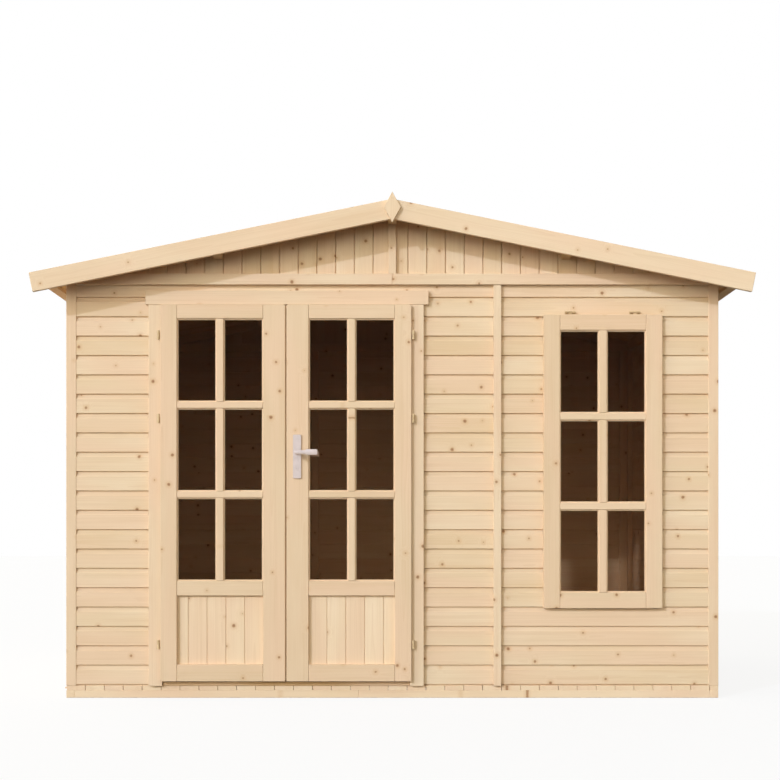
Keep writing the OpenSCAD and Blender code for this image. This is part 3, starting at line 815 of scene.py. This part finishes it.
diamonds = []
for low, high in solids("finials"):
    diamond = add_shape(bpy.ops.mesh.primitive_cylinder_add, vertices=4, radius=0.5, depth=1,
                        location=(low + high) / 2, rotation=(pi / 2, 0, 0),
                        scale=(high.x - low.x, high.z - low.z, high.y - low.y))
    ease_edges(diamond, DIAMOND_EASE)
    diamonds.append(mark_grain(diamond, 2))
assemble("finial_diamonds", diamonds, trim_wood, "trim_wood", "finials")

# %% [markdown]
# ## Beams and rafters
# The beams and the rafters stay as they were packed. Their grain reads the object's own
# coordinates: along Y for the beams and along X for the rafters.

# %% Finishes for packed timbers
def finish_node(node, material):
    """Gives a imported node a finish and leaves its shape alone"""
    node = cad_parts[node]
    node.data.materials.clear()
    node.data.materials.append(material)


# painted shade: the beams' spruce is darker and warmer than the wall wood, for the shade under the
# roof
finish_node("roof_beams", spruce("beam_spruce_painted_shade", srgb(218, 188, 141), srgb(205, 171, 122), run=1))
finish_node("gable_rafters", spruce("rafter_spruce", PALE, DEEP, run=0))

# %% [markdown]
# ## Joined doors and window
# In a door leaf two stiles run the full height, rails fit between them, and slender bars divide the
# glass. A lip on its edge laps the frame, so each outer timber is a thin block with lines scored on
# its back, whose inner part is pulled out to the full thickness.

# %% Lipped timbers
SHUT = 0.0009  # the line at a closed joint


def lipped(low, high, lip_y, back_low, back_high, run):
    """A timber as thick as its lip, and full thickness inside the back's rectangle"""
    block = add_block(low, (high[0], lip_y, high[2]))
    with shaping(block):
        for axis in (0, 2):
            for place in (back_low[axis], back_high[axis]):
                if low[axis] < place < high[axis]:
                    score(axis, place)
        choose(block, "FACE", lambda co, n: n.y > 0.9 and back_low[0] < co.x < back_high[0]
               and back_low[2] < co.z < back_high[2])
        extrude(0, high[1] - lip_y, 0)
    ease_edges(block, EASE)
    return mark_grain(block, run)


def joined_frame(outer, glass, panes, lip_y, back, cross_rails):
    """Stiles, rails and glazing bars round the panes. cross_rails gives the rails' heights"""
    low, high = outer
    timbers = []
    for x0, x1 in ((low.x, glass[0].x), (glass[1].x, high.x)):
        timbers.append(lipped((x0, low.y, low.z), (x1, high.y, high.z), lip_y, *back, 2))
    for z0, z1 in cross_rails:
        spot = (glass[0].x + SHUT, low.y, z0), (glass[1].x - SHUT, high.y, z1)
        timbers.append(lipped(*spot, lip_y, *back, 0))
    columns = sorted({(round(a.x, 5), round(b.x, 5)) for a, b in panes})
    rows = sorted({(round(a.z, 5), round(b.z, 5)) for a, b in panes})
    for lower, upper in zip(rows, rows[1:]):
        bar = (glass[0].x + SHUT, low.y, lower[1]), (glass[1].x - SHUT, high.y, upper[0])
        timbers.append(length_of(PLANED, *bar, 0))
    for bottom, top in rows:
        post = (columns[0][1], low.y, bottom + SHUT), (columns[1][0], high.y, top - SHUT)
        timbers.append(length_of(PLANED, *post, 2))
    return timbers


# %% [markdown]
# ## Glazing beads
# A small bead runs round each pane, set back from the face of the timbers. It is one block whose
# faces are inset and bridged into a hole, with a chamfer towards the open side.

# %% Beads round the panes
BEAD_W, BEAD_EASE = 0.006, 0.0008
BEAD_BACK, BEAD_INSIDE = 0.0085, 0.009  # how far it is set back, and how far it reaches inside


def beads(panes, face_y):
    """A bead in front of and behind every pane, chamfered on its open side"""
    rings = []
    for low, high in panes:
        front, inside = face_y + BEAD_BACK, high.y + BEAD_INSIDE
        x0, x1, z0, z1 = low.x + BEAD_W, high.x - BEAD_W, low.z + BEAD_W, high.z - BEAD_W
        for y0, y1, open_y in ((front, low.y, front), (high.y, inside, inside)):
            ring = add_block((low.x, y0, low.z), (high.x, y1, high.z))
            with shaping(ring):
                choose(ring, "FACE", lambda co, n: abs(n.y) > 0.9)
                bpy.ops.mesh.inset(thickness=BEAD_W, use_individual=True)
                bpy.ops.mesh.bridge_edge_loops()
                choose(ring, "EDGE", lambda co, way: abs(co.y - open_y) < TINY and abs(way.y) < 0.1
                       and x0 - NEAR < co.x < x1 + NEAR and z0 - NEAR < co.z < z1 + NEAR)
                chamfer(BEAD_EASE)
            rings.append(mark_grain(ring, 2))
    return rings

# %% The two door leaves
LEAF_LIP_T, LEAF_LIP_W = 0.013, 0.012
# draught strips above and between the leaves: width, how far let in, and short of the corners
STRIP_W, STRIP_SUNK, STRIP_SHORT = 0.0032, 0.001, 0.006
TOP_STRIP_Y, EDGE_STRIP_Y = (0.001, 0.012), (0.008, 0.026)
GROOVE = 0.006
PANEL_W = 0.0863
PANEL_FIRST = 0.127

low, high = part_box("left_door_panel")
PANEL_BOARD = matched_stock(high.y - low.y, PANEL_W, eased=0.0018, gap=0.0012)
for side, hand in (("left", 1), ("right", -1)):
    outer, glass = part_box(side + "_door_frame"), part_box(side + "_door_glass")
    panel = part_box(side + "_door_panel")
    panes = solids(side + "_door_glass")
    low, high = outer
    back = [low.copy(), high.copy()]
    back[0 if hand > 0 else 1].x += hand * LEAF_LIP_W
    back[1].z -= LEAF_LIP_W
    rails = ((low.z, panel[0].z + GROOVE), (panel[1].z - GROOVE, glass[0].z), (glass[1].z, high.z))
    timbers = joined_frame(outer, glass, panes, low.y + LEAF_LIP_T, back, rails)
    timbers += beads(panes, low.y)
    y0, y1 = (low.y + place for place in TOP_STRIP_Y)
    timbers.append(length_of(PLANED, (low.x + STRIP_SHORT, y0, high.z - STRIP_SUNK),
                             (high.x - STRIP_SHORT, y1, high.z + STRIP_W), 0))
    if hand > 0:
        y0, y1 = (low.y + place for place in EDGE_STRIP_Y)
        timbers.append(length_of(PLANED, (high.x - STRIP_SUNK, y0, low.z + STRIP_SHORT),
                                 (high.x + STRIP_W, y1, high.z - STRIP_SHORT), 2))
    assemble(side + "_leaf", timbers, joinery_wood, "joinery_wood", side + "_door_frame",
             body=side + "_door")

    hinge_x = low.x if hand > 0 else high.x
    first = hinge_x + hand * PANEL_FIRST - (PANEL_W if hand < 0 else 0)
    starts = [first + hand * PANEL_W * k for k in range(-1, 4)]
    boards = matched_row(PANEL_BOARD, starts, -panel[1].z, -panel[0].z)
    boards = assemble(side + "_panel_boards", boards, pale_wood, "joinery_wood",
                      side + "_door_panel", body=side + "_door")
    turn(boards, "y", pi / 2, (0, panel[0].y, 0))
    saw(boards, (panel[1].x, 0, 0), (1, 0, 0))
    saw(boards, (panel[0].x, 0, 0), (-1, 0, 0))

# %% The window
WINDOW_LIP_W = 0.022
outer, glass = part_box("window_frame"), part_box("window_glass")
low, high = outer
lip_y = wall_low.y  # the lip lies flat on the wall
lap = Vector((WINDOW_LIP_W, 0, WINDOW_LIP_W))
back = (low + lap, high - lap)
rails = ((low.z, glass[0].z), (glass[1].z, high.z))
panes = solids("window_glass")
timbers = joined_frame(outer, glass, panes, lip_y, back, rails) + beads(panes, low.y)
assemble("window_sash", timbers, joinery_wood, "joinery_wood", "window_frame")

# %% [markdown]
# ## Metal fittings
# The doors hang on lift-off hinges: a lower barrel with a pin is bolted to the jamb, and the upper
# barrel drops over it. Each barrel is a rod with one end inset, and pulled out into the pin or
# pushed in for the hole.

# %% Metal finish and rods
def metal_finish(name, colour, worn, roughness, metallic=0.9):
    """Pale metal with faint cloudy wear"""
    material, tree, shader = new_material(name)
    spot = add(tree, "TexCoord").outputs["Object"]
    wear = add(tree, "TexNoise", {"Vector": spot, "Scale": 45.0, "Detail": 3.0}).outputs["Fac"]
    tint = blend(ramp(wear, 0.35, 0.75), colour, worn)
    rough = spread(wear, roughness, roughness + 0.16)
    wire(shader, {"Base Color": tint, "Roughness": rough, "Metallic": metallic})
    return material


handle_metal = metal_finish("handle_metal", srgb(215, 200, 193), srgb(206, 192, 185), 0.32)
hinge_metal = metal_finish("hinge_steel", srgb(215, 189, 147), srgb(197, 169, 126), 0.5, 0.3)


def add_rod(start, end, radius, sides=24):
    """A round bar between two points, to be shaped further"""
    start, end = Vector(start), Vector(end)
    turned = (end - start).to_track_quat("Z", "Y").to_euler()
    return add_shape(bpy.ops.mesh.primitive_cylinder_add, vertices=sides, radius=radius,
                     depth=(end - start).length, location=(start + end) / 2, rotation=turned)


def fit(name, pieces, material, slot, node, body="house"):
    """Joins metal parts into one smooth-shaded piece"""
    piece = assemble(name, pieces, material, slot, node, body=body)
    pick(piece)
    bpy.ops.object.shade_smooth_by_angle(angle=radians(35))
    return piece

# %% Door hinges
PIN_WALL, PIN_PLAY, PIN_DEPTH_PLAY = 0.002, 0.00008, 0.0002
BARREL_EASE, BOLT_R, BOLT_EASE, BOLT_SUNK = 0.0005, 0.003, 0.0003, 0.001
lower_solids = solids("jamb_hinges")
upper_solids = solids("left_door_hinges")
barrel_r = (lower_solids[0][1].x - lower_solids[0][0].x) / 2
half_barrel = upper_solids[0][1].z - upper_solids[0][0].z
pin_l = lower_solids[0][1].z - lower_solids[0][0].z - half_barrel


def half_hinge(axis, z0, z1, end, wall, reach, bolt_to):
    """A barrel with its bolt, whose upper (1) or lower (-1) end is pulled into a pin or pushed into
    a hole by this reach"""
    x, y = axis
    barrel = add_rod((x, y, z0), (x, y, z1), barrel_r)
    with shaping(barrel):
        choose(barrel, "FACE", lambda co, n: n.z * end > 0.9)
        bpy.ops.mesh.inset(thickness=wall)
        extrude(0, 0, reach)
    ease_edges(barrel, BARREL_EASE)
    centre, bolt_to = Vector((x, y, (z0 + z1) / 2)), Vector((*bolt_to, (z0 + z1) / 2))
    start = centre + (bolt_to - centre).normalized() * (barrel_r - BOLT_SUNK)
    bolt = add_rod(start, bolt_to, BOLT_R, 12)
    ease_edges(bolt, BOLT_EASE)
    return [barrel, bolt]


for side, way in (("left", 1), ("right", -1)):
    parts = []
    for low, high in solids(side + "_door_hinges"):
        near, far = (low.x, high.x) if way > 0 else (high.x, low.x)
        axis = near + way * barrel_r, low.y + barrel_r
        parts += half_hinge(axis, low.z, high.z, -1, PIN_WALL - PIN_PLAY, pin_l + PIN_DEPTH_PLAY,
                            (far, axis[1]))
    fit(side + "_leaf_barrels", parts, hinge_metal, "hinge_steel", side + "_door_hinges",
        side + "_door")
parts = []
for low, high in lower_solids:
    axis = low.x + barrel_r, low.y + barrel_r
    parts += half_hinge(axis, low.z, low.z + half_barrel, 1, PIN_WALL, pin_l, (axis[0], high.y))
fit("jamb_barrels", parts, hinge_metal, "hinge_steel", "jamb_hinges")

# %% Window hinges
KNUCKLE_R, KNUCKLE_GAP, KNUCKLE_EASE = 0.005, 0.0006, 0.0006
LEAF_T, LEAF_SUNK, LEAF_EASE = 0.002, 0.001, 0.0004
LEAF_ABOVE, PLATE_ABOVE = 0.003, 0.004
parts = []
for low, high in solids("window_hinges"):
    y, z, third = low.y + KNUCKLE_R, high.z - KNUCKLE_R, (high.x - low.x) / 3
    for k in range(3):
        x0, x1 = low.x + third * k + KNUCKLE_GAP, low.x + third * (k + 1) - KNUCKLE_GAP
        parts.append(add_rod((x0, y, z), (x1, y, z), KNUCKLE_R))
        if k == 1:
            parts.append(add_block((x0, y - LEAF_SUNK, low.z), (x1, y + LEAF_T, z)))
        else:
            parts.append(add_block((x0, y, z), (x1, high.y - LEAF_SUNK, z + LEAF_ABOVE)))
        ease_edges(parts[-2], KNUCKLE_EASE)
        ease_edges(parts[-1], LEAF_EASE)
    parts.append(add_block((low.x, high.y - LEAF_T, low.z + PLATE_ABOVE), (high.x, high.y, high.z)))
    ease_edges(parts[-1], KNUCKLE_EASE)
fit("sash_hinges", parts, hinge_metal, "hinge_steel", "window_hinges")

# %% [markdown]
# ## Handle
# The plates are blocks with rounded corners and a raised middle. The lever is a neck with a waist
# and an arm: lines are scored across a bar, the grip is widened and its end is rounded off.

# %% Handle plates and lock
PLATE_ROUND, PLATE_RIM = 0.005, 0.0012
LOCK_R, LOCK_SUNK, LOCK_EASE = 0.0085, 0.001, 0.0004
KEY_W, KEY_H, KEY_DEPTH = 0.0022, 0.0085, 0.0022
lever_low, lever_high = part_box("handle_lever")
plates = solids("handle_plates")
leaf_low, leaf_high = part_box("right_door_frame")
NECK_R, LOCK_OUT, LOCK_DROP = 0.009, 0.003, 0.072
lever_x, lever_z = lever_low.x + NECK_R, (lever_low.z + lever_high.z) / 2

parts = []
for (low, high), out, leaf_face in ((plates[0], -1, leaf_low.y), (plates[1], 1, leaf_high.y)):
    outer = (low.y if out < 0 else high.y) - out * LOCK_OUT
    face = outer - out * PLATE_RIM
    plate = add_block((low.x, min(leaf_face, face), low.z), (high.x, max(leaf_face, face), high.z))
    with shaping(plate):
        choose(plate, "EDGE", lambda co, way: abs(way.y) > 0.9)
        chamfer(PLATE_ROUND, 4)
        choose(plate, "FACE", lambda co, n: n.y * out > 0.9)
        bpy.ops.mesh.inset(thickness=PLATE_RIM)
        shift(0, out * PLATE_RIM, 0)
    lock_z = lever_z - LOCK_DROP
    lock = add_rod((lever_x, outer - out * LOCK_SUNK, lock_z),
                   (lever_x, outer + out * LOCK_OUT, lock_z), LOCK_R)
    with shaping(lock):
        for x in (lever_x - KEY_W / 2, lever_x + KEY_W / 2):
            score(0, x)
        for z in (lock_z - KEY_H / 2, lock_z + KEY_H / 2):
            score(2, z)
        choose(lock, "FACE", lambda co, n: n.y * out > 0.9
               and abs(co.x - lever_x) < KEY_W / 2 and abs(co.z - lock_z) < KEY_H / 2)
        extrude(0, -out * KEY_DEPTH, 0)
    ease_edges(lock, LOCK_EASE, angle=60)
    parts += [plate, lock]
fit("plates", parts, handle_metal, "handle_metal", "handle_plates", "right_door")

# %% Lever
NECK_PLAY, NECK_SUNK, NECK_EASE = 0.0003, 0.003, 0.0008
NECK_LINES, WAIST = (0.12, 0.3, 0.5, 0.7), 0.82
ARM_H, ARM_T, ARM_EASE = 0.017, 0.012, 0.0018
GRIP_L, GRIP_NECK, GRIP_ROUND = 0.049, 0.006, 0.005
grip_h = lever_high.z - lever_low.z
grip_x = lever_high.x - GRIP_L
parts = []
for out, tip in ((-1, lever_low.y), (1, lever_high.y)):
    plate_face = (plates[0][0].y if out < 0 else plates[1][1].y) - out * LOCK_OUT
    foot = plate_face + out * NECK_PLAY
    neck = add_rod((lever_x, foot, lever_z), (lever_x, tip - out * NECK_SUNK, lever_z), NECK_R)
    length = abs(tip - foot)
    with shaping(neck):
        for share in NECK_LINES:
            score(1, foot + out * length * share)
        choose(neck, "VERT", lambda co, n: 0.25 < abs(co.y - foot) / length < 0.55)
        bpy.ops.transform.resize(value=(WAIST, 1, WAIST))
    ease_edges(neck, NECK_EASE)
    arm = add_block((lever_x - NECK_R, min(tip, tip - out * ARM_T), lever_z - ARM_H / 2),
                    (lever_high.x, max(tip, tip - out * ARM_T), lever_z + ARM_H / 2))
    with shaping(arm):
        score(0, grip_x - GRIP_NECK)
        score(0, grip_x)
        choose(arm, "VERT", lambda co, n: co.x > grip_x - NEAR)
        bpy.ops.transform.resize(value=(1, 1, grip_h / ARM_H))
        choose(arm, "EDGE", lambda co, way: co.x > lever_high.x - NEAR and abs(way.y) > 0.9)
        chamfer(GRIP_ROUND, 5)
        choose(arm, "EDGE", lambda co, way: co.x < lever_x and abs(way.y) > 0.9)
        chamfer(ARM_H / 2 - 5 * NEAR, 5)
    ease_edges(arm, ARM_EASE, 3, angle=30)
    parts += [neck, arm]
fit("lever", parts, handle_metal, "handle_metal", "handle_lever", "door_handle")

# %% [markdown]
# ## Hexagonal shingles
# Each strip of felt ends in a tab that narrows towards its foot, and each course lies half a tab
# aside of the one below, so that the gaps read as hexagons. A strip is a thin plate: the foot of
# its body is scored, the middle face is pulled out into the tab and its end is narrowed. Each
# course leans on the last one.

# %% Mineral felt
GRANULES_DARK, GRANULES, GRANULES_PALE = srgb(72, 79, 92), srgb(116, 123, 137), srgb(176, 180, 188)
BAND_GREY, BITUMEN = srgb(52, 58, 70), srgb(38, 40, 46)
BAND_STARTS, BAND_ENDS = (0.235 - 0.004, 0.235 + 0.004), (0.274 + 0.003, 0.274 - 0.003)
GRANULE_DEPTH = 0.0008

# blue-grey granules, with a dark band above each tab and black cut edges
shingle_felt, tree, shader = new_material("mineral_felt")
strip = split(attribute(tree, "strip", "Vector"))
coords = add(tree, "TexCoord").outputs
grains = add(tree, "TexVoronoi", {"Vector": coords["Object"], "Scale": 380.0})
grain = add(tree, "SeparateColor", {0: grains.outputs["Color"]}).outputs[0]
clumps = add(tree, "TexNoise", {"Vector": coords["Object"], "Scale": 55.0, "Detail": 3.0})
tone = maths("ADD", times(grain, 0.62), times(clumps.outputs["Fac"], 0.38))
colour = blend(ramp(tone, 0.12, 0.62), GRANULES_DARK, GRANULES)
colour = blend(ramp(tone, 0.60, 0.95), colour, GRANULES_PALE)
colour = blend(1.0, colour, spread(strip[2], 0.84, 1.1), "MULTIPLY")
band = times(ramp(strip[0], *BAND_STARTS), ramp(strip[0], *BAND_ENDS))
colour = blend(times(band, 0.7), colour, BAND_GREY)
colour = blend(ramp(split(coords["Normal"])[2], 0.75, 0.55), colour, BITUMEN)
bump = add(tree, "Bump", {"Height": grain, "Strength": 0.5, "Distance": GRANULE_DEPTH})
wire(shader, {"Base Color": colour, "Roughness": 0.88, "Specular IOR Level": 0.3,
              "Normal": bump.outputs[0]})

# %% Shingle strips
TAB_STEP, TAB_GAP, STAGGER = 0.333, 0.0005, 0.25
STRIP_L, EXPOSED = 0.285, 0.137
TAB_TOP, TAB_FOOT = 0.244, 0.086
SHINGLE_T, SHINGLE_EASE = 0.0022, 0.0008
LEAN = (SHINGLE_T + NEAR) / EXPOSED
LAID_ASTRAY, CLEAR = 0.0012, 0.0002
EAVE_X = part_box("right_shingles")[1].x

half_w = TAB_STEP / 2 - TAB_GAP
block = add_block((-STRIP_L, -half_w, 0), (-EXPOSED, half_w, SHINGLE_T))
with shaping(block):
    for y in (-TAB_TOP / 2, TAB_TOP / 2):
        score(1, y)
    choose(block, "FACE", lambda co, n: n.x > 0.9 and abs(co.y) < TAB_TOP / 2)
    extrude(EXPOSED, 0, 0)
    choose(block, "VERT", lambda co, n: co.x > -NEAR)
    bpy.ops.transform.resize(value=(1, TAB_FOOT / TAB_TOP, 1))
SHINGLE = into_stock(block)


def mark_strip(piece, up, along, tone):
    """Gives a strip its own place, up from its foot and along it, and a tone"""
    note(piece, "strip", np.column_stack((up, along, np.full(len(up), tone))))


def lay_shingle(x, y):
    """A shingle whose foot lies at x, with its far end down on the deck"""
    piece = new_object("shingle", SHINGLE.copy())
    places = corners(piece)
    mark_strip(piece, -places[:, 0], places[:, 1], dice.random())
    astray = np.array((dice.uniform(-1, 1), dice.uniform(-1, 1), 0.0)) * LAID_ASTRAY
    laid = places + astray + (x, y, 0)
    laid[:, 2] += CLEAR + (STRIP_L + places[:, 0]) * LEAN
    move_corners(piece, laid)
    return piece


slope_l = EAVE_X / cos(pitch)
courses = ceil(slope_l / EXPOSED)
across = ceil(2 * deck_y / TAB_STEP) + 1
starter_x = slope_l - STRIP_L + EXPOSED
for name, angle in SLOPES:
    starter = add_block((starter_x, -deck_y - SPARE, 0), (slope_l, deck_y + SPARE, SHINGLE_T))
    with shaping(starter):
        choose(starter, "EDGE", lambda co, way: co.x > slope_l - NEAR and co.z > SHINGLE_T / 2)
        chamfer(SHINGLE_EASE)
    places = corners(starter)
    mark_strip(starter, slope_l - places[:, 0], places[:, 1], 0.5)
    places[:, 2] += CLEAR + (places[:, 0] - starter_x) * LEAN
    move_corners(starter, places)
    strips = [starter]
    for row in range(courses):
        for k in range(across):
            y = -deck_y + TAB_STEP * (k + (STAGGER if row % 2 else -STAGGER))
            strips.append(lay_shingle(slope_l - EXPOSED * row, y))
    for piece in strips:
        for end in (-1, 1):
            saw(piece, (0, end * deck_y, 0), (0, end, 0))
        saw(piece, (0, 0, -deck_t), (-cos(pitch), 0, -sin(pitch)))
    cover = assemble(name + "_shingle_strips", strips, shingle_felt, "shingle", name + "_shingles")
    turn(cover, "z", 0, (0, 0, deck_t))
    turn(cover, "y", pitch, (0, 0, soffit_ridge))
    turn(cover, "z", angle)

# %% Ridge pieces
CAP_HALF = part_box("ridge_cap")[1].x
CAP_L, CAP_STEP, CAP_BEND = 0.2, 0.14, 0.012
CAP_LEAN = (SHINGLE_T + NEAR) / CAP_STEP
CAP_RISE, CAP_SHORT = 0.0073, (0.008, 0.002)
bend_drop = CAP_BEND * 0.6 * slope  # the crown is rounder than the roof
side_drop = (CAP_HALF - CAP_BEND) * slope

block = add_block((-CAP_HALF, 0, 0), (CAP_HALF, CAP_L, SHINGLE_T))
with shaping(block):
    for x in (-CAP_BEND, 0, CAP_BEND):
        score(0, x)
    for reach, drop in ((CAP_BEND, bend_drop), (CAP_HALF, side_drop)):
        choose(block, "VERT", lambda co, n: abs(co.x) > reach - NEAR)
        shift(0, 0, -drop)
CAP = into_stock(block)

cap_z = deck_ridge + CAP_RISE - (CAP_HALF * slope - bend_drop - side_drop)
first_y, last_y = -deck_y + CAP_SHORT[0], deck_y - CAP_SHORT[1]
pieces = []
for k in range(ceil((last_y - first_y) / CAP_STEP)):
    piece = new_object("cap", CAP.copy())
    places = corners(piece)
    mark_strip(piece, CAP_L - places[:, 1], places[:, 0], dice.random())
    places[:, 2] += cap_z + places[:, 1] * CAP_LEAN
    places[:, 1] += first_y + k * CAP_STEP
    move_corners(piece, places)
    pieces.append(piece)
cap = assemble("ridge_strips", pieces, shingle_felt, "shingle", "ridge_cap")
saw(cap, (0, last_y, 0), (0, 1, 0))

# %% [markdown]
# ## Glass
# The panes are clear, but the shed behind them is dark, so a dim brown room shows with a faint
# sheen over it. The shader lets light through with a slight tint, and mirrors a little.

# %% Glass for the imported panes
GLASS_TINT = (0.84, 0.78, 0.72, 1)
SHEEN_IOR = 1.10  # low, so that the mirror stays thin
window_glass, tree, shader = new_material("window_glass")
clear = add(tree, "BsdfTransparent", {"Color": GLASS_TINT})
sheen = add(tree, "BsdfGlossy", {"Color": WHITE, "Roughness": 0.02})
amount = add(tree, "Fresnel", {"IOR": SHEEN_IOR}).outputs[0]
mixed = add(tree, "MixShader", {0: amount, 1: clear.outputs[0], 2: sheen.outputs[0]})
wire(tree.nodes["Material Output"], {"Surface": mixed.outputs[0]})
for node in ("left_door_glass", "right_door_glass", "window_glass"):
    finish_node(node, window_glass)
